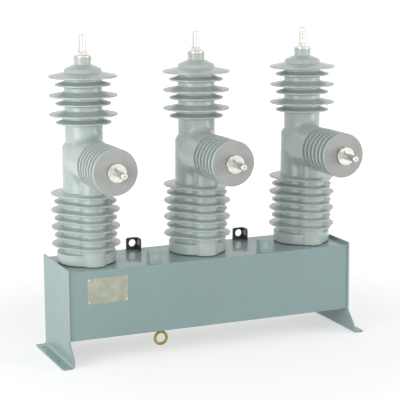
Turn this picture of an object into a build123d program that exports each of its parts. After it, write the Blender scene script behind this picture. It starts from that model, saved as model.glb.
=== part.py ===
from build123d import *
import math
import os

# Outdoor three-pole recloser: three shedded epoxy poles on a folded steel box with two bent feet.
# Frame: +Z up, X along the row of poles, the side terminals point to -Y.
# The origin is on the floor, at the centre of the four foot bolt holes. All sizes are in millimetres.

# Row of poles
POLE_SPACING = 380.0
POLE_COUNT = 3
POLE_Y = 12.5

# Mechanism box, made of sheet steel
BOX_DEPTH = 247.5
BOX_BOTTOM = 74.0
BOX_HEIGHT = 218.0
SHEET = 3.0
FOLD_RADIUS = 2.5

# End plates, each bent outward at the bottom to make a foot
END_PLATE = 5.0
END_PLATE_RISE = 9.5
END_PLATE_TO_RING = 10.8
FOOT_FLARE = 45.0
FOOT_SHOULDER = 27.5
FOOT_WIDTH = 34.0
FOOT_BEND_RADIUS = 8.0
FOOT_CORNER_RADIUS = 6.0
FOOT_HOLE_RADIUS = 7.0
FOOT_HOLE_FROM_PLATE = 18.5
FOOT_HOLE_SPACING = 160.0

# Blank rating plate
NAMEPLATE_WIDTH = 133.0
NAMEPLATE_HEIGHT = 81.0
NAMEPLATE_THICKNESS = 1.0
NAMEPLATE_FROM_END = 130.5
NAMEPLATE_FROM_TOP = 65.0
NAMEPLATE_CORNER = 3.0

# Lifting lugs, in two pairs between the poles, each an angle piece with its eye in the face along the box
LUG_OFF_MIDDLE = 1.5
LUG_WIDTH = 41.0
LUG_WING = 35.0
LUG_HEIGHT = 40.0
LUG_THICKNESS = 6.0
LUG_CORNER = 7.0
LUG_BEND_RADIUS = 3.0
LUG_HOLE_RADIUS = 12.0
LUG_HOLE_HEIGHT = 22.0
LUG_FROM_EDGE = 11.0

# Manual trip handle: a rod through a guide bush under the box, with a pull ring
TRIP_FROM_END = 311.0
TRIP_FROM_FRONT = 18.0
TRIP_RING_RADIUS = 19.5
TRIP_RING_WIRE = 4.5
TRIP_RING_DROP = 27.0
TRIP_ROD_RADIUS = 4.0
TRIP_ROD_CLEARANCE = 0.05
TRIP_ROD_TIP = 29.7
TRIP_BOSS_RADIUS = 7.5
TRIP_BOSS_HEIGHT = 9.0
TRIP_COLLAR_RADIUS = 9.0
TRIP_COLLAR_HEIGHT = 6.0
TRIP_STROKE = 15.0
TRIP_STOP_GAP = 0.3
BUSH_RADIUS = 10.0
BUSH_ABOVE_SHEET = 12.0

# Sheds of the epoxy poles
SHED_RIM = 5.0
SHED_EDGE_RADIUS = 1.6
SHED_EDGE = 1.2
SHED_ROOT_RADIUS = 3.0

# Epoxy pole, upper part
SHOULDER_STEP = 10.5
LARGE_SHED_RADIUS = 107.0
SMALL_SHED_RADIUS = 87.3
UPPER_LARGE_RISE = 10.0
UPPER_SMALL_RISE = 8.5
UPPER_UNDER_RISE = 4.0
FIRST_SHED_ABOVE_BUSHING = 258.0
UPPER_SHED_PITCH = 58.7
UPPER_SMALL_DROP = 25.1
UPPER_SHED_PAIRS = 3
NECK_TOP_RADIUS = 27.0
NECK_RADIUS = 25.5
NECK_TOP_ABOVE_SHED = 60.0
NECK_BOTTOM_ABOVE_SHED = 37.0
NECK_ROOT_RADIUS = 4.0
DOME_RADIUS = 56.0
DOME_ABOVE_SHED = 24.0
DOME_EDGE_RADIUS = 6.0
SHOULDER_ABOVE_BUSHING = 40.0
SHOULDER_HEIGHT = 16.0
SHOULDER_RADIUS = 14.0

# Epoxy pole, wide body and lower part, with a small draft; LOWER_LARGE_TOP and BUSHING_HEIGHT are above its foot
BODY_RADIUS = 70.0
BODY_DRAFT = 3.5
BOSS_RADIUS = 39.5
BOSS_DRAFT = 1.0
BOSS_OFFSET = 68.0
RIM_CREASE = 22.0
LOWER_LARGE_OVERHANG = 38.5
LOWER_SMALL_OVERHANG = 29.0
BOSS_LARGE_OVERHANG = 27.5
BOSS_SMALL_OVERHANG = 24.5
LOWER_TOP_RISE = 4.0
LOWER_UNDER_RISE = 4.0
LOWER_LARGE_TOP = 218.5
LOWER_SHED_PITCH = 53.6
LOWER_LARGE_COUNT = 4
BASE_RING_RADIUS = 93.2
BASE_RING_HEIGHT = 34.0
BASE_RING_EDGE = 2.5

# Rubber gasket between each pole and the box
GASKET_THICKNESS = 2.5
GASKET_INSET = 2.0

# Side bushing
BUSHING_HEIGHT = 324.5
BUSHING_END = 288.7
BUSHING_RIB_RADIUS = 71.0
BUSHING_CORE_RADIUS = 58.0
BUSHING_RIB_PITCH = 24.7
BUSHING_RIB = 8.5
BUSHING_GROOVES = 6
BUSHING_EDGE_RADIUS = 2.0
BUSHING_END_RADIUS = 4.0
COLLAR_FILLET = 24.0

# Terminals
TERMINAL_RADIUS = 28.5
TOP_TERMINAL_RADIUS = 25.0
TOP_TERMINAL_HEIGHT = 4.0
TERMINAL_EDGE = 1.0
STUD_RADIUS = 10.0
STUD_CHAMFER = 1.5
TOP_STUD_LENGTH = 50.0
NUT_ACROSS_FLATS = 27.0
NUT_HEIGHT = 13.5
NUT_CHAMFER = 1.0
SIDE_TERMINAL_HEIGHT = 16.0
SIDE_STUD_LENGTH = 63.3
STUD_CENTRE_RADIUS = 2.5
STUD_CENTRE_DEPTH = 4.0

# Places that follow from the sizes above
first_pole_x = -POLE_SPACING * (POLE_COUNT - 1) / 2
pole_places = [first_pole_x + i * POLE_SPACING for i in range(POLE_COUNT)]
plate_inner_x = -first_pole_x + BASE_RING_RADIUS + END_PLATE_TO_RING
box_half_length = plate_inner_x + END_PLATE
box_top = BOX_BOTTOM + BOX_HEIGHT
box_front = -BOX_DEPTH / 2
box_rear = BOX_DEPTH / 2
end_plate_top = box_top + END_PLATE_RISE
trip_x = -box_half_length + TRIP_FROM_END
trip_y = box_front + TRIP_FROM_FRONT
trip_ring_z = BOX_BOTTOM - TRIP_RING_DROP
trip_boss_low = TRIP_RING_RADIUS - TRIP_RING_WIRE / 2
trip_boss_top = trip_ring_z + trip_boss_low + TRIP_BOSS_HEIGHT
bush_top = BOX_BOTTOM + SHEET + BUSH_ABOVE_SHEET
pole_bottom = box_top + GASKET_THICKNESS
upper_radius = BODY_RADIUS - SHOULDER_STEP
shoulder_bottom = BUSHING_HEIGHT + SHOULDER_ABOVE_BUSHING
shoulder_top = shoulder_bottom + SHOULDER_HEIGHT
first_shed_z = BUSHING_HEIGHT + FIRST_SHED_ABOVE_BUSHING
dome_top = first_shed_z + DOME_ABOVE_SHED
neck_bottom = first_shed_z + NECK_BOTTOM_ABOVE_SHED
neck_top = first_shed_z + NECK_TOP_ABOVE_SHED
first_groove = BUSHING_END - BUSHING_GROOVES * BUSHING_RIB_PITCH
top_disc_end = neck_top + TOP_TERMINAL_HEIGHT
nut_top = top_disc_end + NUT_HEIGHT
side_disc_end = BUSHING_END + SIDE_TERMINAL_HEIGHT


def solid_box(low, high):
    """A plain block between two corners."""
    size = [b - a for a, b in zip(low, high)]
    return Pos(*low) * Box(*size, align=(Align.MIN, Align.MIN, Align.MIN))


def upright_cylinder(radius, bottom, top, x=0.0, y=0.0):
    """A cylinder along Z from one height to another."""
    low_end = (Align.CENTER, Align.CENTER, Align.MIN)
    return Pos(x, y, bottom) * Cylinder(radius, top - bottom, align=low_end)


def forward_cylinder(radius, start, end, z):
    """A cylinder towards -Y, from one distance in front of the pole's axis to another."""
    low_end = (Align.CENTER, Align.CENTER, Align.MIN)
    return Pos(0, -start, z) * Rot(90, 0, 0) * Cylinder(radius, end - start, align=low_end)


def turned_forward(piece):
    """Turns a piece that was made along Z so that it points out of the side bushing."""
    return Pos(0, 0, BUSHING_HEIGHT) * Rot(90, 0, 0) * piece


def outline_face(points, roundings):
    """Closed outline; roundings pairs a radius with the corners that get it."""
    face = make_face(Polyline(*points, close=True))
    for radius, corners in roundings:
        chosen = [face.vertices().sort_by_distance((*corner, 0))[0] for corner in corners]
        face = fillet(chosen, radius)
    return face


def shed_points(root, rim, height, top_rise, under_rise):
    """Half section of one shed: a thin rim with a sloped top and underside."""
    low = height - SHED_RIM / 2
    high = height + SHED_RIM / 2
    return [(root, high + top_rise), (rim, high), (rim, low), (root, low - under_rise)]


def turned_pole():
    """The round form of a pole: neck, dome, upper sheds, plain cylinder, shoulder and wide body."""
    neck_root = (NECK_RADIUS, neck_bottom)
    dome_edge = (DOME_RADIUS, dome_top)
    shoulder_low = (BODY_RADIUS, shoulder_bottom)
    points = [(0, neck_top), (NECK_TOP_RADIUS, neck_top), neck_root, dome_edge]
    rims = []
    roots = []
    for i in range(UPPER_SHED_PAIRS):
        large_z = first_shed_z - i * UPPER_SHED_PITCH
        small_z = large_z - UPPER_SMALL_DROP
        large = shed_points(upper_radius, LARGE_SHED_RADIUS, large_z, UPPER_LARGE_RISE, UPPER_UNDER_RISE)
        small = shed_points(upper_radius, SMALL_SHED_RADIUS, small_z, UPPER_SMALL_RISE, UPPER_UNDER_RISE)
        for shed in (large, small):
            points.extend(shed)
            rims.extend(shed[1:3])
            roots.extend([shed[0], shed[3]])
    points.extend([(upper_radius, shoulder_top), shoulder_low])
    points.extend([(BODY_RADIUS + BODY_DRAFT, 0), (0, 0)])
    roundings = [
        (NECK_ROOT_RADIUS, [neck_root]),
        (DOME_EDGE_RADIUS, [dome_edge]),
        (SHOULDER_RADIUS, [shoulder_low]),
        (SHED_EDGE_RADIUS, rims),
        (SHED_ROOT_RADIUS, roots),
    ]
    return revolve(Plane.XZ * outline_face(points, roundings), Axis.Z)


def front_boss():
    """Tapered round boss that runs down the front of the wide body."""
    low_end = (Align.CENTER, Align.CENTER, Align.MIN)
    return Pos(0, -BOSS_OFFSET) * Cone(BOSS_RADIUS + BOSS_DRAFT, BOSS_RADIUS, BUSHING_HEIGHT, align=low_end)


def collar():
    """Plain cylinder, as wide as the body, that carries the bushing out of it."""
    return forward_cylinder(BODY_RADIUS, 0, first_groove, BUSHING_HEIGHT)


def pole_trunk():
    """Turned form and collar, blended into each other, with the front boss and its creases."""
    trunk = turned_pole() + collar()
    plain = (GeomType.LINE, GeomType.CIRCLE)
    seams = [edge for edge in trunk.edges() if edge.geom_type not in plain]
    trunk = fillet(seams, COLLAR_FILLET) + front_boss()
    return trunk


def shed_section(main_radius, boss_radius, z):
    """Plan of a lower shed at one height: it follows the round body and the boss in front of it."""
    half = (main_radius ** 2 - boss_radius ** 2 + BOSS_OFFSET ** 2) / (2 * BOSS_OFFSET)
    side = math.sqrt(main_radius ** 2 - half ** 2)
    left = (-side, -half)
    right = (side, -half)
    back = ThreePointArc(right, (0, main_radius), left)
    front = ThreePointArc(left, (0, -BOSS_OFFSET - boss_radius), right)
    plan = make_face([back, front])
    return Pos(0, 0, z) * fillet(plan.vertices(), RIM_CREASE)


def lower_shed(main_overhang, boss_overhang, height):
    """One shed of the lower part, a thin plate that is thickest at its root."""
    rim_main = BODY_RADIUS + main_overhang
    rim_boss = BOSS_RADIUS + boss_overhang
    low = height - SHED_RIM / 2
    high = height + SHED_RIM / 2
    sections = [
        shed_section(BODY_RADIUS, BOSS_RADIUS, low - LOWER_UNDER_RISE),
        shed_section(rim_main - SHED_EDGE, rim_boss - SHED_EDGE, low),
        shed_section(rim_main, rim_boss, low + SHED_EDGE),
        shed_section(rim_main, rim_boss, high - SHED_EDGE),
        shed_section(rim_main - SHED_EDGE, rim_boss - SHED_EDGE, high),
        shed_section(BODY_RADIUS, BOSS_RADIUS, high + LOWER_TOP_RISE),
    ]
    return loft(sections, ruled=True)


def lower_sheds():
    """The alternating large and small sheds round the wide body."""
    sheds = []
    for i in range(LOWER_LARGE_COUNT):
        large_z = LOWER_LARGE_TOP - i * LOWER_SHED_PITCH
        sheds.append(lower_shed(LOWER_LARGE_OVERHANG, BOSS_LARGE_OVERHANG, large_z))
        if i < LOWER_LARGE_COUNT - 1:
            small_z = large_z - LOWER_SHED_PITCH / 2
            sheds.append(lower_shed(LOWER_SMALL_OVERHANG, BOSS_SMALL_OVERHANG, small_z))
    return sheds


def base_ring():
    """Round foot of the pole, with softened edges."""
    ring = upright_cylinder(BASE_RING_RADIUS, 0, BASE_RING_HEIGHT)
    return fillet(ring.edges().filter_by(GeomType.CIRCLE), BASE_RING_EDGE)


def side_bushing():
    """Ribs and grooves of the side bushing, in front of its collar."""
    points = [(0, first_groove), (BUSHING_CORE_RADIUS, first_groove)]
    edges = []
    for i in range(BUSHING_GROOVES):
        rib_end = first_groove + (i + 1) * BUSHING_RIB_PITCH
        rib_start = rib_end - BUSHING_RIB
        points.extend([(BUSHING_CORE_RADIUS, rib_start), (BUSHING_RIB_RADIUS, rib_start)])
        points.append((BUSHING_RIB_RADIUS, rib_end))
        edges.append((BUSHING_RIB_RADIUS, rib_start))
        if i < BUSHING_GROOVES - 1:
            points.append((BUSHING_CORE_RADIUS, rib_end))
            edges.append((BUSHING_RIB_RADIUS, rib_end))
    points.append((0, BUSHING_END))
    roundings = [
        (BUSHING_EDGE_RADIUS, edges),
        (BUSHING_END_RADIUS, [(BUSHING_RIB_RADIUS, BUSHING_END)]),
    ]
    turned = revolve(Plane.XZ * outline_face(points, roundings), Axis.Z)
    return turned_forward(turned)


def pole_housing():
    """One epoxy casting, standing at the origin of its own pole."""
    return pole_trunk() + base_ring() + side_bushing() + lower_sheds()


def gasket():
    """Rubber gasket under the foot of a pole."""
    plan = Circle(BASE_RING_RADIUS - GASKET_INSET)
    plan += Pos(0, -BOSS_OFFSET) * Circle(BOSS_RADIUS + BOSS_DRAFT - GASKET_INSET)
    return extrude(plan, -GASKET_THICKNESS)


def chamfered_stud(start, length):
    """Stud along Z with a chamfered tip and the small centre that its lathe left."""
    end = start + length
    stud = upright_cylinder(STUD_RADIUS, start, end)
    tip = stud.edges().filter_by(GeomType.CIRCLE).sort_by(Axis.Z)[-1]
    stud = chamfer(tip, STUD_CHAMFER)
    high_end = (Align.CENTER, Align.CENTER, Align.MAX)
    return stud - Pos(0, 0, end) * Cone(0, STUD_CENTRE_RADIUS, STUD_CENTRE_DEPTH, align=high_end)


def terminal_disc(radius, start, end):
    """Flat round terminal along Z with a softened edge."""
    disc = upright_cylinder(radius, start, end)
    rim = disc.edges().filter_by(GeomType.CIRCLE).sort_by(Axis.Z)[-1]
    return fillet(rim, TERMINAL_EDGE)


def hexagon_collar():
    """Hexagon under the top stud, one piece with it, with its upper corners turned down."""
    hexagon = extrude(RegularPolygon(NUT_ACROSS_FLATS / 2, 6, major_radius=False), NUT_HEIGHT)
    corner_radius = NUT_ACROSS_FLATS / math.sqrt(3)
    cutter = upright_cylinder(corner_radius, 0, NUT_HEIGHT)
    rim = cutter.edges().filter_by(GeomType.CIRCLE).sort_by(Axis.Z)[-1]
    return Pos(0, 0, top_disc_end) * (hexagon & chamfer(rim, NUT_CHAMFER))


def end_plate(side):
    """Bent end plate with its foot; side is -1 on the left and 1 on the right."""
    front = box_front
    toe = box_front - FOOT_FLARE
    outline = Polyline(
        (front, end_plate_top),
        (front, BOX_BOTTOM),
        (toe, FOOT_SHOULDER),
        (toe, 0),
        (box_rear, 0),
        (box_rear, end_plate_top),
        close=True,
    )
    bend_profile = Polyline(
        (plate_inner_x, end_plate_top),
        (box_half_length, end_plate_top),
        (box_half_length, END_PLATE),
        (box_half_length + FOOT_WIDTH, END_PLATE),
        (box_half_length + FOOT_WIDTH, 0),
        (plate_inner_x, 0),
        close=True,
    )
    bent = extrude(Plane.XZ * make_face(bend_profile), -(box_rear - toe))
    bent = Pos(0, toe, 0) * bent
    inner_bend = bent.edges().filter_by(Axis.Y).sort_by_distance((box_half_length, 0, END_PLATE))[0]
    bent = fillet(inner_bend, FOOT_BEND_RADIUS)
    outer_bend = bent.edges().filter_by(Axis.Y).sort_by_distance((plate_inner_x, 0, 0))[0]
    bent = fillet(outer_bend, FOOT_BEND_RADIUS + END_PLATE)
    reach = extrude(Plane.YZ * make_face(outline), box_half_length + FOOT_WIDTH)
    bent = bent & reach
    corners = bent.edges().filter_by(Axis.Z).group_by(Axis.X)[-1]
    bent = fillet(corners, FOOT_CORNER_RADIUS)
    hole_x = box_half_length + FOOT_HOLE_FROM_PLATE
    for step in (-0.5, 0.5):
        hole_y = step * FOOT_HOLE_SPACING
        bent -= upright_cylinder(FOOT_HOLE_RADIUS, 0, END_PLATE, hole_x, hole_y)
    if side < 0:
        bent = mirror(bent, Plane.YZ)
    return bent


def lifting_lug():
    """Angle piece welded to the top sheet: its eye is in the face, and its wing runs back from the left end."""
    left = -LUG_WIDTH / 2
    right = LUG_WIDTH / 2
    heel = (left, 0)
    inner = (left + LUG_THICKNESS, LUG_THICKNESS)
    points = [heel, (right, 0), (right, LUG_THICKNESS), inner, (left + LUG_THICKNESS, LUG_WING), (left, LUG_WING)]
    roundings = [(LUG_BEND_RADIUS, [inner]), (LUG_BEND_RADIUS + LUG_THICKNESS, [heel])]
    angle = extrude(outline_face(points, roundings), LUG_HEIGHT)
    top_edges = angle.edges().group_by(Axis.Z)[-1]
    face_corner = top_edges.filter_by(Axis.Y).sort_by(Axis.X)[-1]
    wing_corner = top_edges.filter_by(Axis.X).sort_by(Axis.Y)[-1]
    angle = fillet([face_corner, wing_corner], LUG_CORNER)
    return angle - forward_cylinder(LUG_HOLE_RADIUS, -LUG_THICKNESS, 0, LUG_HOLE_HEIGHT)


def nameplate():
    """Blank rating plate on the front panel."""
    outline = RectangleRounded(NAMEPLATE_WIDTH, NAMEPLATE_HEIGHT, NAMEPLATE_CORNER)
    plate = extrude(Plane.XZ * outline, NAMEPLATE_THICKNESS)
    centre_x = -box_half_length + NAMEPLATE_FROM_END
    return Pos(centre_x, box_front, box_top - NAMEPLATE_FROM_TOP) * plate


def trip_ring():
    """Pull ring with the boss that its rod screws into."""
    ring = Rot(90, 0, 0) * Torus(TRIP_RING_RADIUS, TRIP_RING_WIRE)
    boss = upright_cylinder(TRIP_BOSS_RADIUS, trip_boss_low, trip_boss_low + TRIP_BOSS_HEIGHT)
    return Pos(trip_x, trip_y, trip_ring_z) * (ring + boss)


def trip_rod():
    """Straight rod with the collar that rests on the bush at the end of the pull."""
    stop_low = bush_top + TRIP_STROKE + TRIP_STOP_GAP
    stop_high = stop_low + TRIP_COLLAR_HEIGHT
    stop = upright_cylinder(TRIP_COLLAR_RADIUS, stop_low, stop_high, trip_x, trip_y)
    rod = upright_cylinder(TRIP_ROD_RADIUS, trip_boss_top, stop_high + TRIP_ROD_TIP, trip_x, trip_y)
    return rod + stop


def rod_bush():
    """Guide bush pressed through the bottom sheet."""
    body = upright_cylinder(BUSH_RADIUS, BOX_BOTTOM, bush_top, trip_x, trip_y)
    bore = upright_cylinder(TRIP_ROD_RADIUS + TRIP_ROD_CLEARANCE, BOX_BOTTOM, bush_top, trip_x, trip_y)
    return body - bore


def box_panels():
    """The sheets of the mechanism box."""
    left = -plate_inner_x
    right = plate_inner_x
    inner_front = box_front + SHEET
    inner_rear = box_rear - SHEET
    top = solid_box((left, box_front, box_top - SHEET), (right, box_rear, box_top))
    top_edges = top.edges().filter_by(Axis.X).group_by(Axis.Z)[-1]
    top = fillet(top_edges, FOLD_RADIUS)
    bottom = solid_box((left, box_front, BOX_BOTTOM), (right, box_rear, BOX_BOTTOM + SHEET))
    bottom_edges = bottom.edges().filter_by(Axis.X).group_by(Axis.Z)[0]
    bottom = fillet(bottom_edges, FOLD_RADIUS)
    bottom -= upright_cylinder(BUSH_RADIUS, BOX_BOTTOM, BOX_BOTTOM + SHEET, trip_x, trip_y)
    low = BOX_BOTTOM + SHEET
    high = box_top - SHEET
    front = solid_box((left, box_front, low), (right, inner_front, high))
    rear = solid_box((left, inner_rear, low), (right, box_rear, high))
    return {"top_plate": top, "bottom_plate": bottom, "front_panel": front, "rear_panel": rear}


parts = {}
parts.update(box_panels())
parts["end_plate_left"] = end_plate(-1)
parts["end_plate_right"] = end_plate(1)
parts["nameplate"] = nameplate()
parts["trip_ring"] = trip_ring()
parts["trip_rod"] = trip_rod()
parts["rod_bush"] = rod_bush()

lug = lifting_lug()
lug_from_middle = POLE_SPACING / 2 + LUG_OFF_MIDDLE
for row, lug_y, turn in (("front", box_front + LUG_FROM_EDGE, 0), ("rear", box_rear - LUG_FROM_EDGE, 180)):
    for name, lug_x in (("left", -lug_from_middle), ("right", lug_from_middle)):
        parts[f"lifting_lug_{row}_{name}"] = Pos(lug_x, lug_y, box_top) * Rot(0, 0, turn) * lug

pole_pieces = {
    "housing": pole_housing(),
    "gasket": gasket(),
    "top_terminal": terminal_disc(TOP_TERMINAL_RADIUS, neck_top, top_disc_end),
    "top_nut": hexagon_collar(),
    "top_stud": chamfered_stud(nut_top, TOP_STUD_LENGTH),
    "side_terminal": turned_forward(terminal_disc(TERMINAL_RADIUS, BUSHING_END, side_disc_end)),
    "side_stud": turned_forward(chamfered_stud(side_disc_end, SIDE_STUD_LENGTH)),
}
for number, pole_x in enumerate(pole_places, start=1):
    for name, piece in pole_pieces.items():
        parts[f"pole_{number}_{name}"] = Pos(pole_x, POLE_Y, pole_bottom) * piece

os.makedirs("parts", exist_ok=True)
for name, piece in parts.items():
    export_step(piece, f"parts/{name}.step")
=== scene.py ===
import math

import bmesh
import bpy
from mathutils import Matrix, Vector


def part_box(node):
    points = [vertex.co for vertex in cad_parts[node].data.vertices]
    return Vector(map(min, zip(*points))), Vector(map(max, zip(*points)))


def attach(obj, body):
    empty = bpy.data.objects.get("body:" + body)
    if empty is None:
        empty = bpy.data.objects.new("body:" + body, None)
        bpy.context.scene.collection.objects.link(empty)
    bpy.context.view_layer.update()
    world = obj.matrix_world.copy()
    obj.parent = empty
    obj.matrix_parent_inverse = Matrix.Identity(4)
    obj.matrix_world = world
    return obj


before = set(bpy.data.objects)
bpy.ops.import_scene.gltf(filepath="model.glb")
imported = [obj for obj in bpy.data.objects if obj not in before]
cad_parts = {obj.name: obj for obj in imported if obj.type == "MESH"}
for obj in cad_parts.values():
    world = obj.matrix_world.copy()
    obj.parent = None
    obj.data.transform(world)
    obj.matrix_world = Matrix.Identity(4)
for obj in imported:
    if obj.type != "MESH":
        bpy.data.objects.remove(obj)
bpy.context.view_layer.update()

bl_info = {
    "name": "Pole-mounted recloser",
    "version": (1, 0, 0),
    "blender": (4, 5, 0),
    "location": "View3D > Sidebar > Recloser",
    "description": "Dresses the three-pole recloser with its finishes, small fasteners and a plain studio",
    "category": "Object",
}

MILLIMETRE = 0.001
UP = (0.0, 0.0, 1.0)
FORWARD = (0.0, -1.0, 0.0)

# The object's own numbers that the parts' boxes don't give
POLES = (1, 2, 3)
SIDES = ("left", "right")
SHEETS = ("front_panel", "rear_panel", "top_plate", "bottom_plate", "end_plate_left", "end_plate_right")
POLE_SPACING = 380.0 * MILLIMETRE
PLATE_THICKNESS = 5.0 * MILLIMETRE

# Fall of an end plate's flared edge, for each metre that it comes forward
FLARE_SLOPE = 46.5 / 45.0

# Locking screws: their size, and their place from the middle of a terminal, across and then back or up
SCREW_RADIUS = 2.6 * MILLIMETRE
SCREW_HEIGHT = 0.8 * MILLIMETRE
TOP_SCREW_PLACE = (13.0 * MILLIMETRE, -14.0 * MILLIMETRE)
SIDE_SCREW_PLACE = (-5.0 * MILLIMETRE, 13.5 * MILLIMETRE)

# Screw head, from the rim inwards: widths in radii, and rises in heights
RIM_WIDTH = 0.12
RIM_RISE = 0.12
LAND_WIDTH = 0.36
SOCKET_DRAFT = 0.02
SOCKET_DEPTH = 0.7
SCREW_SIDES = 24

# Rivets: distance from the plate's edges, height and pit width in radii, and pit depth in heights
RIVET_EDGE = 5.5 * MILLIMETRE
RIVET_RISE = 0.5
PIT_WIDTH = 0.3
PIT_DEPTH = 0.45
RIVET_SIDES = 24
RIVET_RINGS = 16

# Welds: a bead's root in radii, its factor of swell, its ripples, and the lug corner that it leaves free
BEAD_ROOT = 0.7
BEAD_SWELL = 1.3
BEAD_SIDES = 10
FEWEST_RIPPLES = 4
LUG_RIPPLE = 1.6 * MILLIMETRE
END_RIPPLE = 2.4 * MILLIMETRE
LUG_CORNER = 9.0 * MILLIMETRE

LIP_ROUNDING = 1.2 * MILLIMETRE
LIP_ROUNDING_STEPS = 4

# Angles in degrees under which an edge looks smooth, and the distance within which points are one
SMOOTH_EDGE = 35.0
SMOOTH_WELD = 60.0
SAME_PLACE = 1e-6

# Bare and plated metals, and the two shades of the gasket rubber
TIN = (0.7, 0.685, 0.64)
SCREW_STEEL = (0.32, 0.32, 0.31)
ROD_STEEL = (0.55, 0.55, 0.53)
BUSH_BRASS = (0.62, 0.47, 0.22)
RIVET_ALUMINIUM = (0.72, 0.73, 0.68)
RUBBER_DARK = (0.035, 0.042, 0.042)
RUBBER_PALE = (0.07, 0.08, 0.08)

# Turn of the lathe rings: round an upright stud, and round one that points forward
UPRIGHT = (0.0, 0.0, 0.0)
LEVEL = (math.pi / 2, 0.0, 0.0)

# The values between which most of a noise lies
NOISE_SPAN = (0.3, 0.7)

# The photograph's viewpoint: place in metres, angles in degrees, and a lens on a 36 mm wide square frame
CAMERA_PLACE = (-1.7175, -4.0651, 1.2875)
CAMERA_YAW = 22.968
CAMERA_TILT = 10.618
CAMERA_ROLL = -0.371
CAMERA_LENS = 124.66
CAMERA_REACH = 100.0
SENSOR_WIDTH = 36.0

# Square lamps that face one point, in metres: cool at the left, neutral at the right and warm in front
LAMP_TARGET = (0.0, 0.0, 0.5)
LAMPS = (
    {"name": "key", "place": (-2.7, -1.2, 0.8), "size": 1.8, "colour": (0.97, 1.0, 1.03)},
    {"name": "side", "place": (2.9, -2.0, 0.8), "size": 1.8, "colour": (1.0, 1.0, 1.0)},
    {"name": "fill", "place": (0.0, -4.4, 0.7), "size": 2.0, "colour": (1.04, 0.98, 0.92)},
)

# Rise of a direction, from 0 for level to 1 for upwards, over which the walls' light becomes the ceiling's
CEILING_SPAN = (0.1, 0.7)

# Floor in metres: it glows by FLOOR_LIFT near the middle, and is pure white where the fade ends
FLOOR_RADIUS = 9.0
FLOOR_SIDES = 96
FLOOR_GREY = 0.6
FLOOR_FADE = (0.7, 2.6)
FLOOR_LIFT = 0.55


class RecloserSettings(bpy.types.PropertyGroup):
    """Colours and sizes that a user may change before the pieces are made."""

    epoxy_colour: bpy.props.FloatVectorProperty(
        name="Epoxy colour",
        description="Colour of the cast epoxy poles",
        subtype="COLOR",
        size=3,
        min=0.0,
        max=1.0,
        default=(0.5, 0.565, 0.53),
    )
    # Painted shade: a darker colour for the end of a side bushing, which faces the dim front and gets less
    # light
    end_shade_colour: bpy.props.FloatVectorProperty(
        name="Bushing end shade",
        description="Colour of the end of a side bushing, where the lathe has cut the cast skin away",
        subtype="COLOR",
        size=3,
        min=0.0,
        max=1.0,
        default=(0.43, 0.445, 0.425),
    )
    paint_colour: bpy.props.FloatVectorProperty(
        name="Box paint",
        description="Colour of the powder coat on the mechanism box",
        subtype="COLOR",
        size=3,
        min=0.0,
        max=1.0,
        default=(0.295, 0.412, 0.4),
    )
    # The rear lugs get a near-black colour, far darker than the box colour of the front lugs
    lug_colour: bpy.props.FloatVectorProperty(
        name="Rear lug colour",
        description="Colour of the dark rear lifting lugs",
        subtype="COLOR",
        size=3,
        min=0.0,
        max=1.0,
        default=(0.055, 0.066, 0.066),
    )
    plate_colour: bpy.props.FloatVectorProperty(
        name="Rating plate",
        description="Colour of the blank rating plate",
        subtype="COLOR",
        size=3,
        min=0.0,
        max=1.0,
        default=(0.45, 0.47, 0.375),
    )
    ring_colour: bpy.props.FloatVectorProperty(
        name="Trip ring",
        description="Colour of the enamel on the trip ring",
        subtype="COLOR",
        size=3,
        min=0.0,
        max=1.0,
        default=(0.42, 0.31, 0.02),
    )
    rivet_radius: bpy.props.FloatProperty(
        name="Rivet radius",
        description="Radius of the rivet heads on the rating plate",
        default=2.6 * MILLIMETRE,
        min=0.0005,
        unit="LENGTH",
    )
    weld_radius: bpy.props.FloatProperty(
        name="Weld radius",
        description="Radius of the weld beads at the lugs and the end plates",
        default=1.8 * MILLIMETRE,
        min=0.0005,
        unit="LENGTH",
    )
    lip_depth: bpy.props.FloatProperty(
        name="Lip depth",
        description="How far the end plates stand proud of the front panel",
        default=5.0 * MILLIMETRE,
        min=0.001,
        unit="LENGTH",
    )
    wall_light: bpy.props.FloatProperty(
        name="Wall light",
        description="Strength of the even light from the sides",
        default=0.72,
        min=0.0,
    )
    ceiling_light: bpy.props.FloatProperty(
        name="Ceiling light",
        description="Strength of the even light from above",
        default=0.5,
        min=0.0,
    )
    key_power: bpy.props.FloatProperty(
        name="Key light",
        description="Power of the large lamp on the left",
        default=40.0,
        min=0.0,
        unit="POWER",
    )
    side_power: bpy.props.FloatProperty(
        name="Side light",
        description="Power of the soft lamp on the right",
        default=34.0,
        min=0.0,
        unit="POWER",
    )
    fill_power: bpy.props.FloatProperty(
        name="Fill light",
        description="Power of the soft lamp in front",
        default=10.0,
        min=0.0,
        unit="POWER",
    )


def settings():
    """The settings of the current scene."""
    return bpy.context.scene.recloser


def middle(node):
    """Centre of a CAD node's box."""
    low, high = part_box(node)
    return (Vector(low) + Vector(high)) / 2


# Material helpers

def start_material(name, roughness, metallic=0.0):
    """New material; returns it with its node tree and its shader."""
    material = bpy.data.materials.new(name)
    material.use_nodes = True
    tree = material.node_tree
    shader = tree.nodes["Principled BSDF"]
    shader.inputs["Roughness"].default_value = roughness
    shader.inputs["Metallic"].default_value = metallic
    return material, tree, shader


def feed(tree, value, socket):
    """Gives a socket a plain number or the output of another node."""
    if isinstance(value, (int, float)):
        socket.default_value = value
    else:
        tree.links.new(value, socket)


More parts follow.
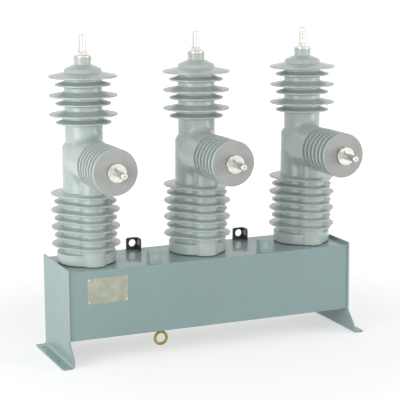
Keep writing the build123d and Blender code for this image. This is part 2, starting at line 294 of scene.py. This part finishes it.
def placed_coordinates(tree, centre=(0.0, 0.0, 0.0), turn=(0.0, 0.0, 0.0), scale=(1.0, 1.0, 1.0)):
    """Object coordinates, moved so that they start at a centre and then turned and scaled."""
    source = tree.nodes.new("ShaderNodeTexCoord")
    shift = tree.nodes.new("ShaderNodeMapping")
    shift.inputs["Location"].default_value = [-value for value in centre]
    tree.links.new(source.outputs["Object"], shift.inputs["Vector"])
    mapping = tree.nodes.new("ShaderNodeMapping")
    mapping.inputs["Rotation"].default_value = turn
    mapping.inputs["Scale"].default_value = scale
    tree.links.new(shift.outputs["Vector"], mapping.inputs["Vector"])
    return mapping.outputs["Vector"]


def noise(tree, vector, scale, detail=3.0, roughness=0.5):
    """Noise texture; returns its grey output."""
    texture = tree.nodes.new("ShaderNodeTexNoise")
    texture.inputs["Scale"].default_value = scale
    texture.inputs["Detail"].default_value = detail
    texture.inputs["Roughness"].default_value = roughness
    tree.links.new(vector, texture.inputs["Vector"])
    return texture.outputs["Fac"]


def shaded(colour, factor):
    """A colour made lighter or darker."""
    return tuple(min(1.0, channel * factor) for channel in colour)


def tint_by(tree, grey, low_colour, high_colour, low=0.35, high=0.65):
    """Blend of two colours by a grey value."""
    ramp = tree.nodes.new("ShaderNodeValToRGB")
    ramp.color_ramp.elements[0].position = low
    ramp.color_ramp.elements[1].position = high
    ramp.color_ramp.elements[0].color = (*low_colour, 1.0)
    ramp.color_ramp.elements[1].color = (*high_colour, 1.0)
    tree.links.new(grey, ramp.inputs["Fac"])
    return ramp.outputs["Color"]


def mix_colours(tree, share, first, second):
    """Mix of two linked colours, with the share of the second as a number or a link."""
    mix = tree.nodes.new("ShaderNodeMix")
    mix.data_type = "RGBA"
    feed(tree, share, mix.inputs["Factor"])
    tree.links.new(first, mix.inputs["A"])
    tree.links.new(second, mix.inputs["B"])
    return mix.outputs["Result"]


def remap(tree, value, old, new):
    """Grey value carried from one span to another, clamped."""
    node = tree.nodes.new("ShaderNodeMapRange")
    node.inputs["From Min"].default_value, node.inputs["From Max"].default_value = old
    node.inputs["To Min"].default_value, node.inputs["To Max"].default_value = new
    tree.links.new(value, node.inputs["Value"])
    return node.outputs["Result"]


def roughen(tree, shader, grey, span):
    """Roughness that follows a noise over a span."""
    tree.links.new(remap(tree, grey, NOISE_SPAN, span), shader.inputs["Roughness"])


def bump(tree, shader, height, distance, strength, under=None):
    """Relief from a grey value, laid over an earlier relief if there is one."""
    node = tree.nodes.new("ShaderNodeBump")
    node.inputs["Distance"].default_value = distance
    node.inputs["Strength"].default_value = strength
    tree.links.new(height, node.inputs["Height"])
    if under is not None:
        tree.links.new(under, node.inputs["Normal"])
    tree.links.new(node.outputs["Normal"], shader.inputs["Normal"])
    return node.outputs["Normal"]


def lacquer(shader, weight, roughness):
    """Clear coat over the whole surface."""
    shader.inputs["Coat Weight"].default_value = weight
    shader.inputs["Coat Roughness"].default_value = roughness


def coordinate(tree, vector, axis):
    """One coordinate of a vector."""
    parts = tree.nodes.new("ShaderNodeSeparateXYZ")
    tree.links.new(vector, parts.inputs["Vector"])
    return parts.outputs[axis]


def calculate(tree, operation, first, second):
    """Sum, product or other result of a linked value and a number or a second linked value."""
    node = tree.nodes.new("ShaderNodeMath")
    node.operation = operation
    tree.links.new(first, node.inputs[0])
    feed(tree, second, node.inputs[1])
    return node.outputs["Value"]


# Finishes

def mould_seam(tree, vector):
    """1 along the parting line of the mould, which cuts each pole in half from front to back."""
    from_seam = calculate(tree, "PINGPONG", coordinate(tree, vector, "X"), POLE_SPACING / 2)
    return remap(tree, from_seam, (0.0, 0.7 * MILLIMETRE), (1.0, 0.0))


def epoxy_finish(name, colour, end_shade_colour):
    """Cast epoxy: satin, faintly mottled, with a mould seam; the bushing's end is turned on a lathe, which
    leaves it rougher, and its colour is painted shade, darker for the dim light from the front.
    """
    material, tree, shader = start_material(name, roughness=0.36)
    vector = placed_coordinates(tree)

    mottle = noise(tree, vector, scale=9.0, detail=4.0)
    mottled = tint_by(tree, mottle, shaded(colour, 0.965), shaded(colour, 1.03))
    specks = noise(tree, vector, scale=420.0, detail=2.0)
    specked = tint_by(tree, specks, shaded(colour, 0.93), colour, low=0.28, high=0.42)
    cast = mix_colours(tree, 0.35, mottled, specked)

    # Painted shade: the bushing's end, which faces the dim front, gets a darker colour than the cast skin
    # round it
    clouds = noise(tree, vector, scale=30.0, detail=5.0)
    shaded_end = tint_by(tree, clouds, shaded(end_shade_colour, 0.95), shaded(end_shade_colour, 1.05))
    end_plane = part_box("pole_1_housing")[0][1]
    skin = (end_plane + 0.3 * MILLIMETRE, end_plane + 0.2 * MILLIMETRE)
    on_end_face = remap(tree, coordinate(tree, vector, "Y"), skin, (0.0, 1.0))
    tree.links.new(mix_colours(tree, on_end_face, cast, shaded_end), shader.inputs["Base Color"])

    gloss = noise(tree, vector, scale=26.0, detail=3.0)
    satin = remap(tree, gloss, NOISE_SPAN, (0.26, 0.36))
    turned = calculate(tree, "MULTIPLY", on_end_face, 0.6)
    tree.links.new(calculate(tree, "MAXIMUM", satin, turned), shader.inputs["Roughness"])

    swell = noise(tree, vector, scale=34.0, detail=1.0)
    soft = bump(tree, shader, swell, distance=0.6 * MILLIMETRE, strength=0.2)
    seam = mould_seam(tree, vector)
    seamed = bump(tree, shader, seam, distance=0.2 * MILLIMETRE, strength=0.6, under=soft)
    grain = noise(tree, vector, scale=1500.0, detail=2.0)
    bump(tree, shader, grain, distance=0.08 * MILLIMETRE, strength=0.3, under=seamed)
    lacquer(shader, weight=0.35, roughness=0.12)
    return material


def paint_finish(name, colour, coat):
    """Powder coat on sheet steel: glossy, with a fine orange peel."""
    material, tree, shader = start_material(name, roughness=0.38)
    vector = placed_coordinates(tree)

    patches = noise(tree, vector, scale=4.5, detail=3.0)
    broad = tint_by(tree, patches, shaded(colour, 0.955), shaded(colour, 1.045))
    dust = noise(tree, vector, scale=75.0, detail=5.0, roughness=0.65)
    dusty = tint_by(tree, dust, shaded(colour, 0.96), shaded(colour, 1.03), low=0.4, high=0.6)
    tree.links.new(mix_colours(tree, 0.4, broad, dusty), shader.inputs["Base Color"])

    smear = noise(tree, vector, scale=14.0, detail=4.0)
    roughen(tree, shader, smear, (0.32, 0.44))
    sheet = noise(tree, vector, scale=5.0, detail=1.0)
    flat = bump(tree, shader, sheet, distance=1.2 * MILLIMETRE, strength=0.12)
    peel = noise(tree, vector, scale=380.0, detail=2.0)
    bump(tree, shader, peel, distance=0.06 * MILLIMETRE, strength=0.3, under=flat)
    shader.inputs["Specular IOR Level"].default_value = 0.35
    lacquer(shader, weight=coat, roughness=0.06)
    return material


def turned_metal_finish(name, colour, centre, turn):
    """Tin-plated metal with faint lathe rings round the axis of a stud; its colour is mottled between dull
    and bright, partly real tarnish and partly painted reflection.
    """
    material, tree, shader = start_material(name, roughness=0.27, metallic=1.0)
    vector = placed_coordinates(tree, centre=centre, turn=turn)

    rings = tree.nodes.new("ShaderNodeTexWave")
    rings.wave_type = "RINGS"
    rings.rings_direction = "Z"
    rings.inputs["Scale"].default_value = 260.0
    rings.inputs["Distortion"].default_value = 0.6
    rings.inputs["Detail"].default_value = 1.0
    tree.links.new(vector, rings.inputs["Vector"])
    bump(tree, shader, rings.outputs["Fac"], distance=0.03 * MILLIMETRE, strength=0.5)

    # Partly painted reflection: the tin swings between dull and bright patches that stand in for the dark
    # and pale things it would mirror, over its real uneven tarnish
    bloom = noise(tree, vector, scale=95.0, detail=5.0, roughness=0.6)
    dull = shaded(colour, 0.74)
    bright = shaded(colour, 1.06)
    tree.links.new(tint_by(tree, bloom, dull, bright, low=0.34, high=0.66), shader.inputs["Base Color"])
    handling = noise(tree, vector, scale=110.0, detail=3.0)
    roughen(tree, shader, handling, (0.21, 0.39))
    return material


def plate_finish(name, colour):
    """Rolled aluminium sheet with a dull, faintly mottled lacquer."""
    material, tree, shader = start_material(name, roughness=0.42, metallic=0.35)
    vector = placed_coordinates(tree)
    stain = noise(tree, vector, scale=38.0, detail=5.0, roughness=0.6)
    stained = tint_by(tree, stain, shaded(colour, 0.86), shaded(colour, 1.08), low=0.36, high=0.64)
    tree.links.new(stained, shader.inputs["Base Color"])
    rolled = placed_coordinates(tree, scale=(1.0, 1.0, 26.0))
    lines = noise(tree, rolled, scale=60.0, detail=2.0)
    bump(tree, shader, lines, distance=0.05 * MILLIMETRE, strength=0.4)
    roughen(tree, shader, stain, (0.34, 0.5))
    return material


def enamel_finish(name, colour):
    """Yellow enamel, worn a little towards brown."""
    material, tree, shader = start_material(name, roughness=0.38)
    vector = placed_coordinates(tree)
    wear = noise(tree, vector, scale=140.0, detail=4.0)
    worn = tint_by(tree, wear, shaded(colour, 0.62), shaded(colour, 1.12))
    tree.links.new(worn, shader.inputs["Base Color"])
    roughen(tree, shader, wear, (0.5, 0.3))
    bump(tree, shader, noise(tree, vector, scale=500.0), distance=0.08 * MILLIMETRE, strength=0.4)
    lacquer(shader, weight=0.3, roughness=0.15)
    return material


def rubber_finish(name):
    """Matt black gasket rubber."""
    material, tree, shader = start_material(name, roughness=0.8)
    vector = placed_coordinates(tree)
    bloom = noise(tree, vector, scale=90.0, detail=4.0)
    tree.links.new(tint_by(tree, bloom, RUBBER_DARK, RUBBER_PALE), shader.inputs["Base Color"])
    roughen(tree, shader, bloom, (0.7, 0.9))
    bump(tree, shader, noise(tree, vector, scale=900.0), distance=0.08 * MILLIMETRE, strength=0.5)
    return material


def plain_metal_finish(name, colour, roughness):
    """Bare or plated metal with faint stains."""
    material, tree, shader = start_material(name, roughness, metallic=1.0)
    vector = placed_coordinates(tree)
    stain = noise(tree, vector, scale=120.0, detail=4.0)
    tree.links.new(tint_by(tree, stain, shaded(colour, 0.75), colour), shader.inputs["Base Color"])
    roughen(tree, shader, stain, (roughness + 0.1, roughness - 0.05))
    bump(tree, shader, noise(tree, vector, scale=700.0), distance=0.04 * MILLIMETRE, strength=0.3)
    return material


def dress(node, material):
    """Gives a CAD node its finish."""
    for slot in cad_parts[node].material_slots:
        slot.material = material


# Mesh helpers

def finish_piece(bm, name, body, material, smooth_angle=SMOOTH_EDGE):
    """Turns a bmesh into a piece with its finish, riding on a body."""
    bmesh.ops.remove_doubles(bm, verts=bm.verts, dist=SAME_PLACE)
    bmesh.ops.recalc_face_normals(bm, faces=bm.faces)
    mesh = bpy.data.meshes.new(name)
    bm.to_mesh(mesh)
    bm.free()
    mesh.materials.append(material)
    mesh.shade_smooth()
    mesh.set_sharp_from_angle(angle=math.radians(smooth_angle))
    piece = bpy.data.objects.new(name, mesh)
    bpy.context.scene.collection.objects.link(piece)
    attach(piece, body)


def stamp(bm, part, place, outward):
    """Adds a small finished shape to a larger bmesh, with its own Z turned outwards at a place."""
    turn = Vector(outward).to_track_quat("Z", "Y").to_matrix().to_4x4()
    bmesh.ops.transform(part, matrix=Matrix.Translation(place) @ turn, verts=part.verts)
    mesh = bpy.data.meshes.new("stamp")
    part.to_mesh(mesh)
    part.free()
    bm.from_mesh(mesh)
    bpy.data.meshes.remove(mesh)


def cap_face(part):
    """The face of a shape that lies highest."""
    return max(part.faces, key=lambda face: face.calc_center_median().z)


def extrude(bm, faces, run):
    """Extrudes faces along a run, and returns the vertices at its end."""
    grown = bmesh.ops.extrude_face_region(bm, geom=faces)
    verts = [item for item in grown["geom"] if isinstance(item, bmesh.types.BMVert)]
    bmesh.ops.translate(bm, verts=verts, vec=run)
    return verts


def blind_rivet(radius, height):
    """Domed head of a blind rivet, with the small pit that its mandrel leaves."""
    part = bmesh.new()
    bmesh.ops.create_uvsphere(part, u_segments=RIVET_SIDES, v_segments=RIVET_RINGS, radius=radius)
    lower = [vert for vert in part.verts if vert.co.z < -SAME_PLACE]
    bmesh.ops.delete(part, geom=lower, context="VERTS")
    bmesh.ops.scale(part, verts=part.verts, vec=(1.0, 1.0, height / radius))
    rim = [edge for edge in part.edges if edge.is_boundary]
    bmesh.ops.contextual_create(part, geom=rim)
    pit = [vert for vert in part.verts if vert.co.xy.length < radius * PIT_WIDTH]
    bmesh.ops.translate(part, verts=pit, vec=(0.0, 0.0, -height * PIT_DEPTH))
    return part


def socket_screw(radius, height):
    """Small screw head with a softened rim and a round socket."""
    part = bmesh.new()
    circle = bmesh.ops.create_circle(part, cap_ends=True, segments=SCREW_SIDES, radius=radius)
    extrude(part, circle["verts"][0].link_faces[:], (0.0, 0.0, height))
    face = cap_face(part)
    insets = ((RIM_WIDTH, RIM_RISE), (LAND_WIDTH, 0.0), (SOCKET_DRAFT, -SOCKET_DEPTH))
    for width, rise in insets:
        bmesh.ops.inset_region(part, faces=[face], thickness=radius * width, depth=height * rise)
    return part


def weld_bead(length, radius, ripple):
    """Rod with the ripples that a hand weld leaves, along its own Z."""
    part = bmesh.new()
    rings = max(FEWEST_RIPPLES, int(length / ripple))
    bmesh.ops.create_circle(part, cap_ends=True, segments=BEAD_SIDES, radius=radius * BEAD_ROOT)
    for step in range(rings):
        verts = extrude(part, [cap_face(part)], (0.0, 0.0, length / rings))
        swell = BEAD_SWELL if step % 2 == 0 else 1.0 / BEAD_SWELL
        bmesh.ops.scale(part, verts=verts, vec=(swell, swell, 1.0))
    return part


def add_weld(bm, start, end, radius, ripple):
    """Weld bead from one point to another, half sunk in the corner that it fills."""
    run = Vector(end) - Vector(start)
    stamp(bm, weld_bead(run.length, radius, ripple), start, run)


class RECLOSER_OT_poles(bpy.types.Operator):
    """Give the three epoxy poles, their gaskets and their terminals their finishes"""

    bl_idname = "recloser.poles"
    bl_label = "Finish the poles"

    def execute(self, context):
        chosen = settings()
        epoxy = epoxy_finish("cast_epoxy", chosen.epoxy_colour, chosen.end_shade_colour)
        rubber = rubber_finish("gasket_rubber")
        for number in POLES:
            pole = f"pole_{number}"
            dress(f"{pole}_housing", epoxy)
            dress(f"{pole}_gasket", rubber)
            upright = turned_metal_finish(f"tin_top_{number}", TIN, middle(f"{pole}_top_stud"), UPRIGHT)
            level = turned_metal_finish(f"tin_side_{number}", TIN, middle(f"{pole}_side_stud"), LEVEL)
            for piece in ("top_terminal", "top_nut", "top_stud"):
                dress(f"{pole}_{piece}", upright)
            for piece in ("side_terminal", "side_stud"):
                dress(f"{pole}_{piece}", level)
        return {"FINISHED"}


class RECLOSER_OT_terminal_screws(bpy.types.Operator):
    """Add the small locking screws beside the studs"""

    bl_idname = "recloser.terminal_screws"
    bl_label = "Add terminal screws"

    def execute(self, context):
        steel = plain_metal_finish("screw_steel", SCREW_STEEL, roughness=0.35)
        for number in POLES:
            bm = bmesh.new()
            top = middle(f"pole_{number}_top_terminal")
            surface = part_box(f"pole_{number}_top_terminal")[1][2]
            across, back = TOP_SCREW_PLACE
            place = Vector((top.x + across, top.y + back, surface))
            stamp(bm, socket_screw(SCREW_RADIUS, SCREW_HEIGHT), place, UP)
            side = middle(f"pole_{number}_side_terminal")
            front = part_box(f"pole_{number}_side_terminal")[0][1]
            across, rise = SIDE_SCREW_PLACE
            place = Vector((side.x + across, front, side.z + rise))
            stamp(bm, socket_screw(SCREW_RADIUS, SCREW_HEIGHT), place, FORWARD)
            finish_piece(bm, f"pole_{number}_locking_screws", "root", steel)
        return {"FINISHED"}


class RECLOSER_OT_box(bpy.types.Operator):
    """Give the mechanism box, its feet and its lugs their paint"""

    bl_idname = "recloser.box"
    bl_label = "Paint the box"

    def execute(self, context):
        chosen = settings()
        paint = paint_finish("box_paint", chosen.paint_colour, coat=0.42)
        # Rear lugs in a near-black colour, front lugs in the box colour
        dark = paint_finish("rear_lug_dark", chosen.lug_colour, coat=0.4)
        for sheet in SHEETS:
            dress(sheet, paint)
        for side in SIDES:
            dress(f"lifting_lug_front_{side}", paint)
            dress(f"lifting_lug_rear_{side}", dark)
        return {"FINISHED"}


class RECLOSER_OT_end_lips(bpy.types.Operator):
    """Add the narrow lips by which the end plates stand proud of the front panel"""

    bl_idname = "recloser.end_lips"
    bl_label = "Add the end plates' lips"

    def execute(self, context):
        paint = bpy.data.materials["box_paint"]
        depth = settings().lip_depth
        panel_low, panel_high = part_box("front_panel")
        front = panel_low[1]
        bottom = panel_low[2]
        for side, sign in zip(SIDES, (-1.0, 1.0)):
            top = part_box(f"end_plate_{side}")[1][2]
            outline = [
                (front, top),
                (front - depth, top),
                (front - depth, bottom - depth * FLARE_SLOPE),
                (front, bottom),
            ]
            bm = bmesh.new()
            verts = [bm.verts.new((sign * panel_high[0], y, z)) for y, z in outline]
            extrude(bm, [bm.faces.new(verts)], (sign * PLATE_THICKNESS, 0.0, 0.0))
            proud = [edge for edge in bm.edges if all(vert.co.y < front - depth / 2 for vert in edge.verts)]
            bmesh.ops.bevel(
                bm,
                geom=proud,
                offset=LIP_ROUNDING,
                segments=LIP_ROUNDING_STEPS,
                profile=0.5,
                affect="EDGES",
                material=-1,
            )
            finish_piece(bm, f"end_plate_lip_{side}", "root", paint)
        return {"FINISHED"}


class RECLOSER_OT_welds(bpy.types.Operator):
    """Add the weld beads at the lugs and along the ends of the top sheet"""

    bl_idname = "recloser.welds"
    bl_label = "Add weld beads"

    def execute(self, context):
        radius = settings().weld_radius
        paint = bpy.data.materials["box_paint"]
        dark = bpy.data.materials["rear_lug_dark"]
        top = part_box("top_plate")[1][2]
        for row, finish, slot in (("front", paint, "box_paint"), ("rear", dark, "lug_steel")):
            bm = bmesh.new()
            for side in SIDES:
                low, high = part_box(f"lifting_lug_{row}_{side}")
                if row == "front":
                    corner = low
                    start = (low[0] + LUG_CORNER, low[1] + LUG_CORNER)
                    end = (high[0], high[1])
                else:
                    corner = high
                    start = (low[0], low[1])
                    end = (high[0] - LUG_CORNER, high[1] - LUG_CORNER)
                add_weld(bm, (start[0], corner[1], top), (end[0], corner[1], top), radius, LUG_RIPPLE)
                add_weld(bm, (corner[0], start[1], top), (corner[0], end[1], top), radius, LUG_RIPPLE)
            finish_piece(bm, f"lug_welds_{row}", "root", finish, smooth_angle=SMOOTH_WELD)
        bm = bmesh.new()
        low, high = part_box("top_plate")
        for x in (low[0], high[0]):
            start = (x, low[1] + radius, top)
            add_weld(bm, start, (x, high[1] - radius, top), radius, END_RIPPLE)
        finish_piece(bm, "end_plate_welds", "root", paint, smooth_angle=SMOOTH_WELD)
        return {"FINISHED"}


class RECLOSER_OT_rating_plate(bpy.types.Operator):
    """Finish the blank rating plate and rivet it to the front panel"""

    bl_idname = "recloser.rating_plate"
    bl_label = "Finish the rating plate"

    def execute(self, context):
        chosen = settings()
        radius = chosen.rivet_radius
        sheet = plate_finish("rating_plate", chosen.plate_colour)
        rivet = plain_metal_finish("rivet_aluminium", RIVET_ALUMINIUM, roughness=0.3)
        dress("nameplate", sheet)
        low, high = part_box("nameplate")
        bm = bmesh.new()
        for x in (low[0] + RIVET_EDGE, high[0] - RIVET_EDGE):
            for z in (low[2] + RIVET_EDGE, high[2] - RIVET_EDGE):
                stamp(bm, blind_rivet(radius, radius * RIVET_RISE), Vector((x, low[1], z)), FORWARD)
        finish_piece(bm, "nameplate_rivets", "root", rivet)
        return {"FINISHED"}


class RECLOSER_OT_trip_handle(bpy.types.Operator):
    """Give the trip ring, its rod and its guide bush their finishes"""

    bl_idname = "recloser.trip_handle"
    bl_label = "Finish the trip handle"

    def execute(self, context):
        dress("trip_ring", enamel_finish("ring_enamel", settings().ring_colour))
        dress("trip_rod", plain_metal_finish("rod_steel", ROD_STEEL, roughness=0.3))
        dress("rod_bush", plain_metal_finish("bush_brass", BUSH_BRASS, roughness=0.32))
        return {"FINISHED"}


# Stage helpers

def seen_directly(tree):
    """1 for what the camera, a gloss or a glass sees, and 0 for light on its way."""
    path = tree.nodes.new("ShaderNodeLightPath")
    seen = path.outputs["Is Camera Ray"]
    for name in ("Is Glossy Ray", "Is Transmission Ray"):
        seen = calculate(tree, "MAXIMUM", seen, path.outputs[name])
    return seen


def add_lamp(name, place, size, colour, power):
    """Soft square lamp that faces the target."""
    light = bpy.data.lights.new(name, "AREA")
    light.size = size
    light.energy = power
    light.color = colour
    lamp = bpy.data.objects.new(name, light)
    lamp.location = place
    lamp.rotation_euler = (Vector(LAMP_TARGET) - Vector(place)).to_track_quat("-Z", "Y").to_euler()
    bpy.context.scene.collection.objects.link(lamp)


def light_the_room(world, walls, ceiling):
    """White surroundings for the eye; as a light, bright at the sides and dimmer above."""
    world.use_nodes = True
    tree = world.node_tree
    sky = tree.nodes["Background"]
    sky.inputs["Color"].default_value = (1.0, 1.0, 1.0, 1.0)
    direction = tree.nodes.new("ShaderNodeTexCoord")
    rise = coordinate(tree, direction.outputs["Generated"], "Z")
    by_height = remap(tree, rise, CEILING_SPAN, (walls, ceiling))
    blend = tree.nodes.new("ShaderNodeMix")
    tree.links.new(seen_directly(tree), blend.inputs["Factor"])
    tree.links.new(by_height, blend.inputs["A"])
    blend.inputs["B"].default_value = 1.0
    tree.links.new(blend.outputs["Result"], sky.inputs["Strength"])


def lay_floor():
    """Plain pale floor that fades to the white of the surroundings away from the object."""
    bm = bmesh.new()
    bmesh.ops.create_circle(bm, cap_ends=True, segments=FLOOR_SIDES, radius=FLOOR_RADIUS)
    mesh = bpy.data.meshes.new("floor")
    bm.to_mesh(mesh)
    bm.free()
    floor = bpy.data.objects.new("floor", mesh)
    bpy.context.scene.collection.objects.link(floor)
    material, tree, shader = start_material("floor_white", roughness=0.9)
    shader.inputs["Base Color"].default_value = (FLOOR_GREY, FLOOR_GREY, FLOOR_GREY, 1.0)
    shader.inputs["Specular IOR Level"].default_value = 0.0
    shader.inputs["Emission Color"].default_value = (1.0, 1.0, 1.0, 1.0)
    place = tree.nodes.new("ShaderNodeTexCoord")
    away = tree.nodes.new("ShaderNodeVectorMath")
    away.operation = "LENGTH"
    tree.links.new(place.outputs["Object"], away.inputs[0])
    fade = remap(tree, away.outputs["Value"], FLOOR_FADE, (FLOOR_LIFT, 1.0))
    glow = calculate(tree, "MULTIPLY", seen_directly(tree), fade)
    tree.links.new(glow, shader.inputs["Emission Strength"])
    mesh.materials.append(material)


def set_up_camera(scene):
    """Camera at the photograph's viewpoint."""
    yaw = math.radians(CAMERA_YAW)
    tilt = math.radians(CAMERA_TILT)
    ahead = Vector((math.sin(yaw) * math.cos(tilt), math.cos(yaw) * math.cos(tilt), -math.sin(tilt)))
    data = bpy.data.cameras.new("camera")
    data.lens = CAMERA_LENS
    data.sensor_width = SENSOR_WIDTH
    data.clip_end = CAMERA_REACH
    camera = bpy.data.objects.new("camera", data)
    aim = ahead.to_track_quat("-Z", "Y").to_matrix().to_4x4()
    roll = Matrix.Rotation(math.radians(CAMERA_ROLL), 4, "Z")
    camera.matrix_world = Matrix.Translation(CAMERA_PLACE) @ aim @ roll
    scene.collection.objects.link(camera)
    scene.camera = camera


class RECLOSER_OT_stage(bpy.types.Operator):
    """Set up the plain floor, the soft lamps, the white surroundings and the camera"""

    bl_idname = "recloser.stage"
    bl_label = "Set the stage"

    def execute(self, context):
        scene = context.scene
        chosen = settings()
        scene.view_settings.view_transform = "Standard"
        scene.world = bpy.data.worlds.new("studio")
        light_the_room(scene.world, chosen.wall_light, chosen.ceiling_light)
        lay_floor()
        powers = (chosen.key_power, chosen.side_power, chosen.fill_power)
        for lamp, power in zip(LAMPS, powers):
            add_lamp(**lamp, power=power)
        set_up_camera(scene)
        return {"FINISHED"}


class RECLOSER_PT_panel(bpy.types.Panel):
    """Sidebar list of the recloser's pieces"""

    bl_idname = "RECLOSER_PT_panel"
    bl_label = "Recloser"
    bl_space_type = "VIEW_3D"
    bl_region_type = "UI"
    bl_category = "Recloser"

    def draw(self, context):
        layout = self.layout
        chosen = context.scene.recloser
        for name in RecloserSettings.__annotations__:
            layout.prop(chosen, name)
        for operator in STEPS:
            layout.operator(operator.bl_idname)


STEPS = (
    RECLOSER_OT_poles,
    RECLOSER_OT_terminal_screws,
    RECLOSER_OT_box,
    RECLOSER_OT_end_lips,
    RECLOSER_OT_welds,
    RECLOSER_OT_rating_plate,
    RECLOSER_OT_trip_handle,
    RECLOSER_OT_stage,
)
CLASSES = (RecloserSettings, *STEPS, RECLOSER_PT_panel)


def register():
    """Adds the settings, the operators and the panel to Blender."""
    for cls in CLASSES:
        bpy.utils.register_class(cls)
    bpy.types.Scene.recloser = bpy.props.PointerProperty(type=RecloserSettings)


def unregister():
    """Takes them out again."""
    del bpy.types.Scene.recloser
    for cls in reversed(CLASSES):
        bpy.utils.unregister_class(cls)


def main():
    """Makes every piece in order."""
    register()
    bpy.ops.recloser.poles()
    bpy.ops.recloser.terminal_screws()
    bpy.ops.recloser.box()
    bpy.ops.recloser.end_lips()
    bpy.ops.recloser.welds()
    bpy.ops.recloser.rating_plate()
    bpy.ops.recloser.trip_handle()
    bpy.ops.recloser.stage()


if __name__ == "__main__":
    main()
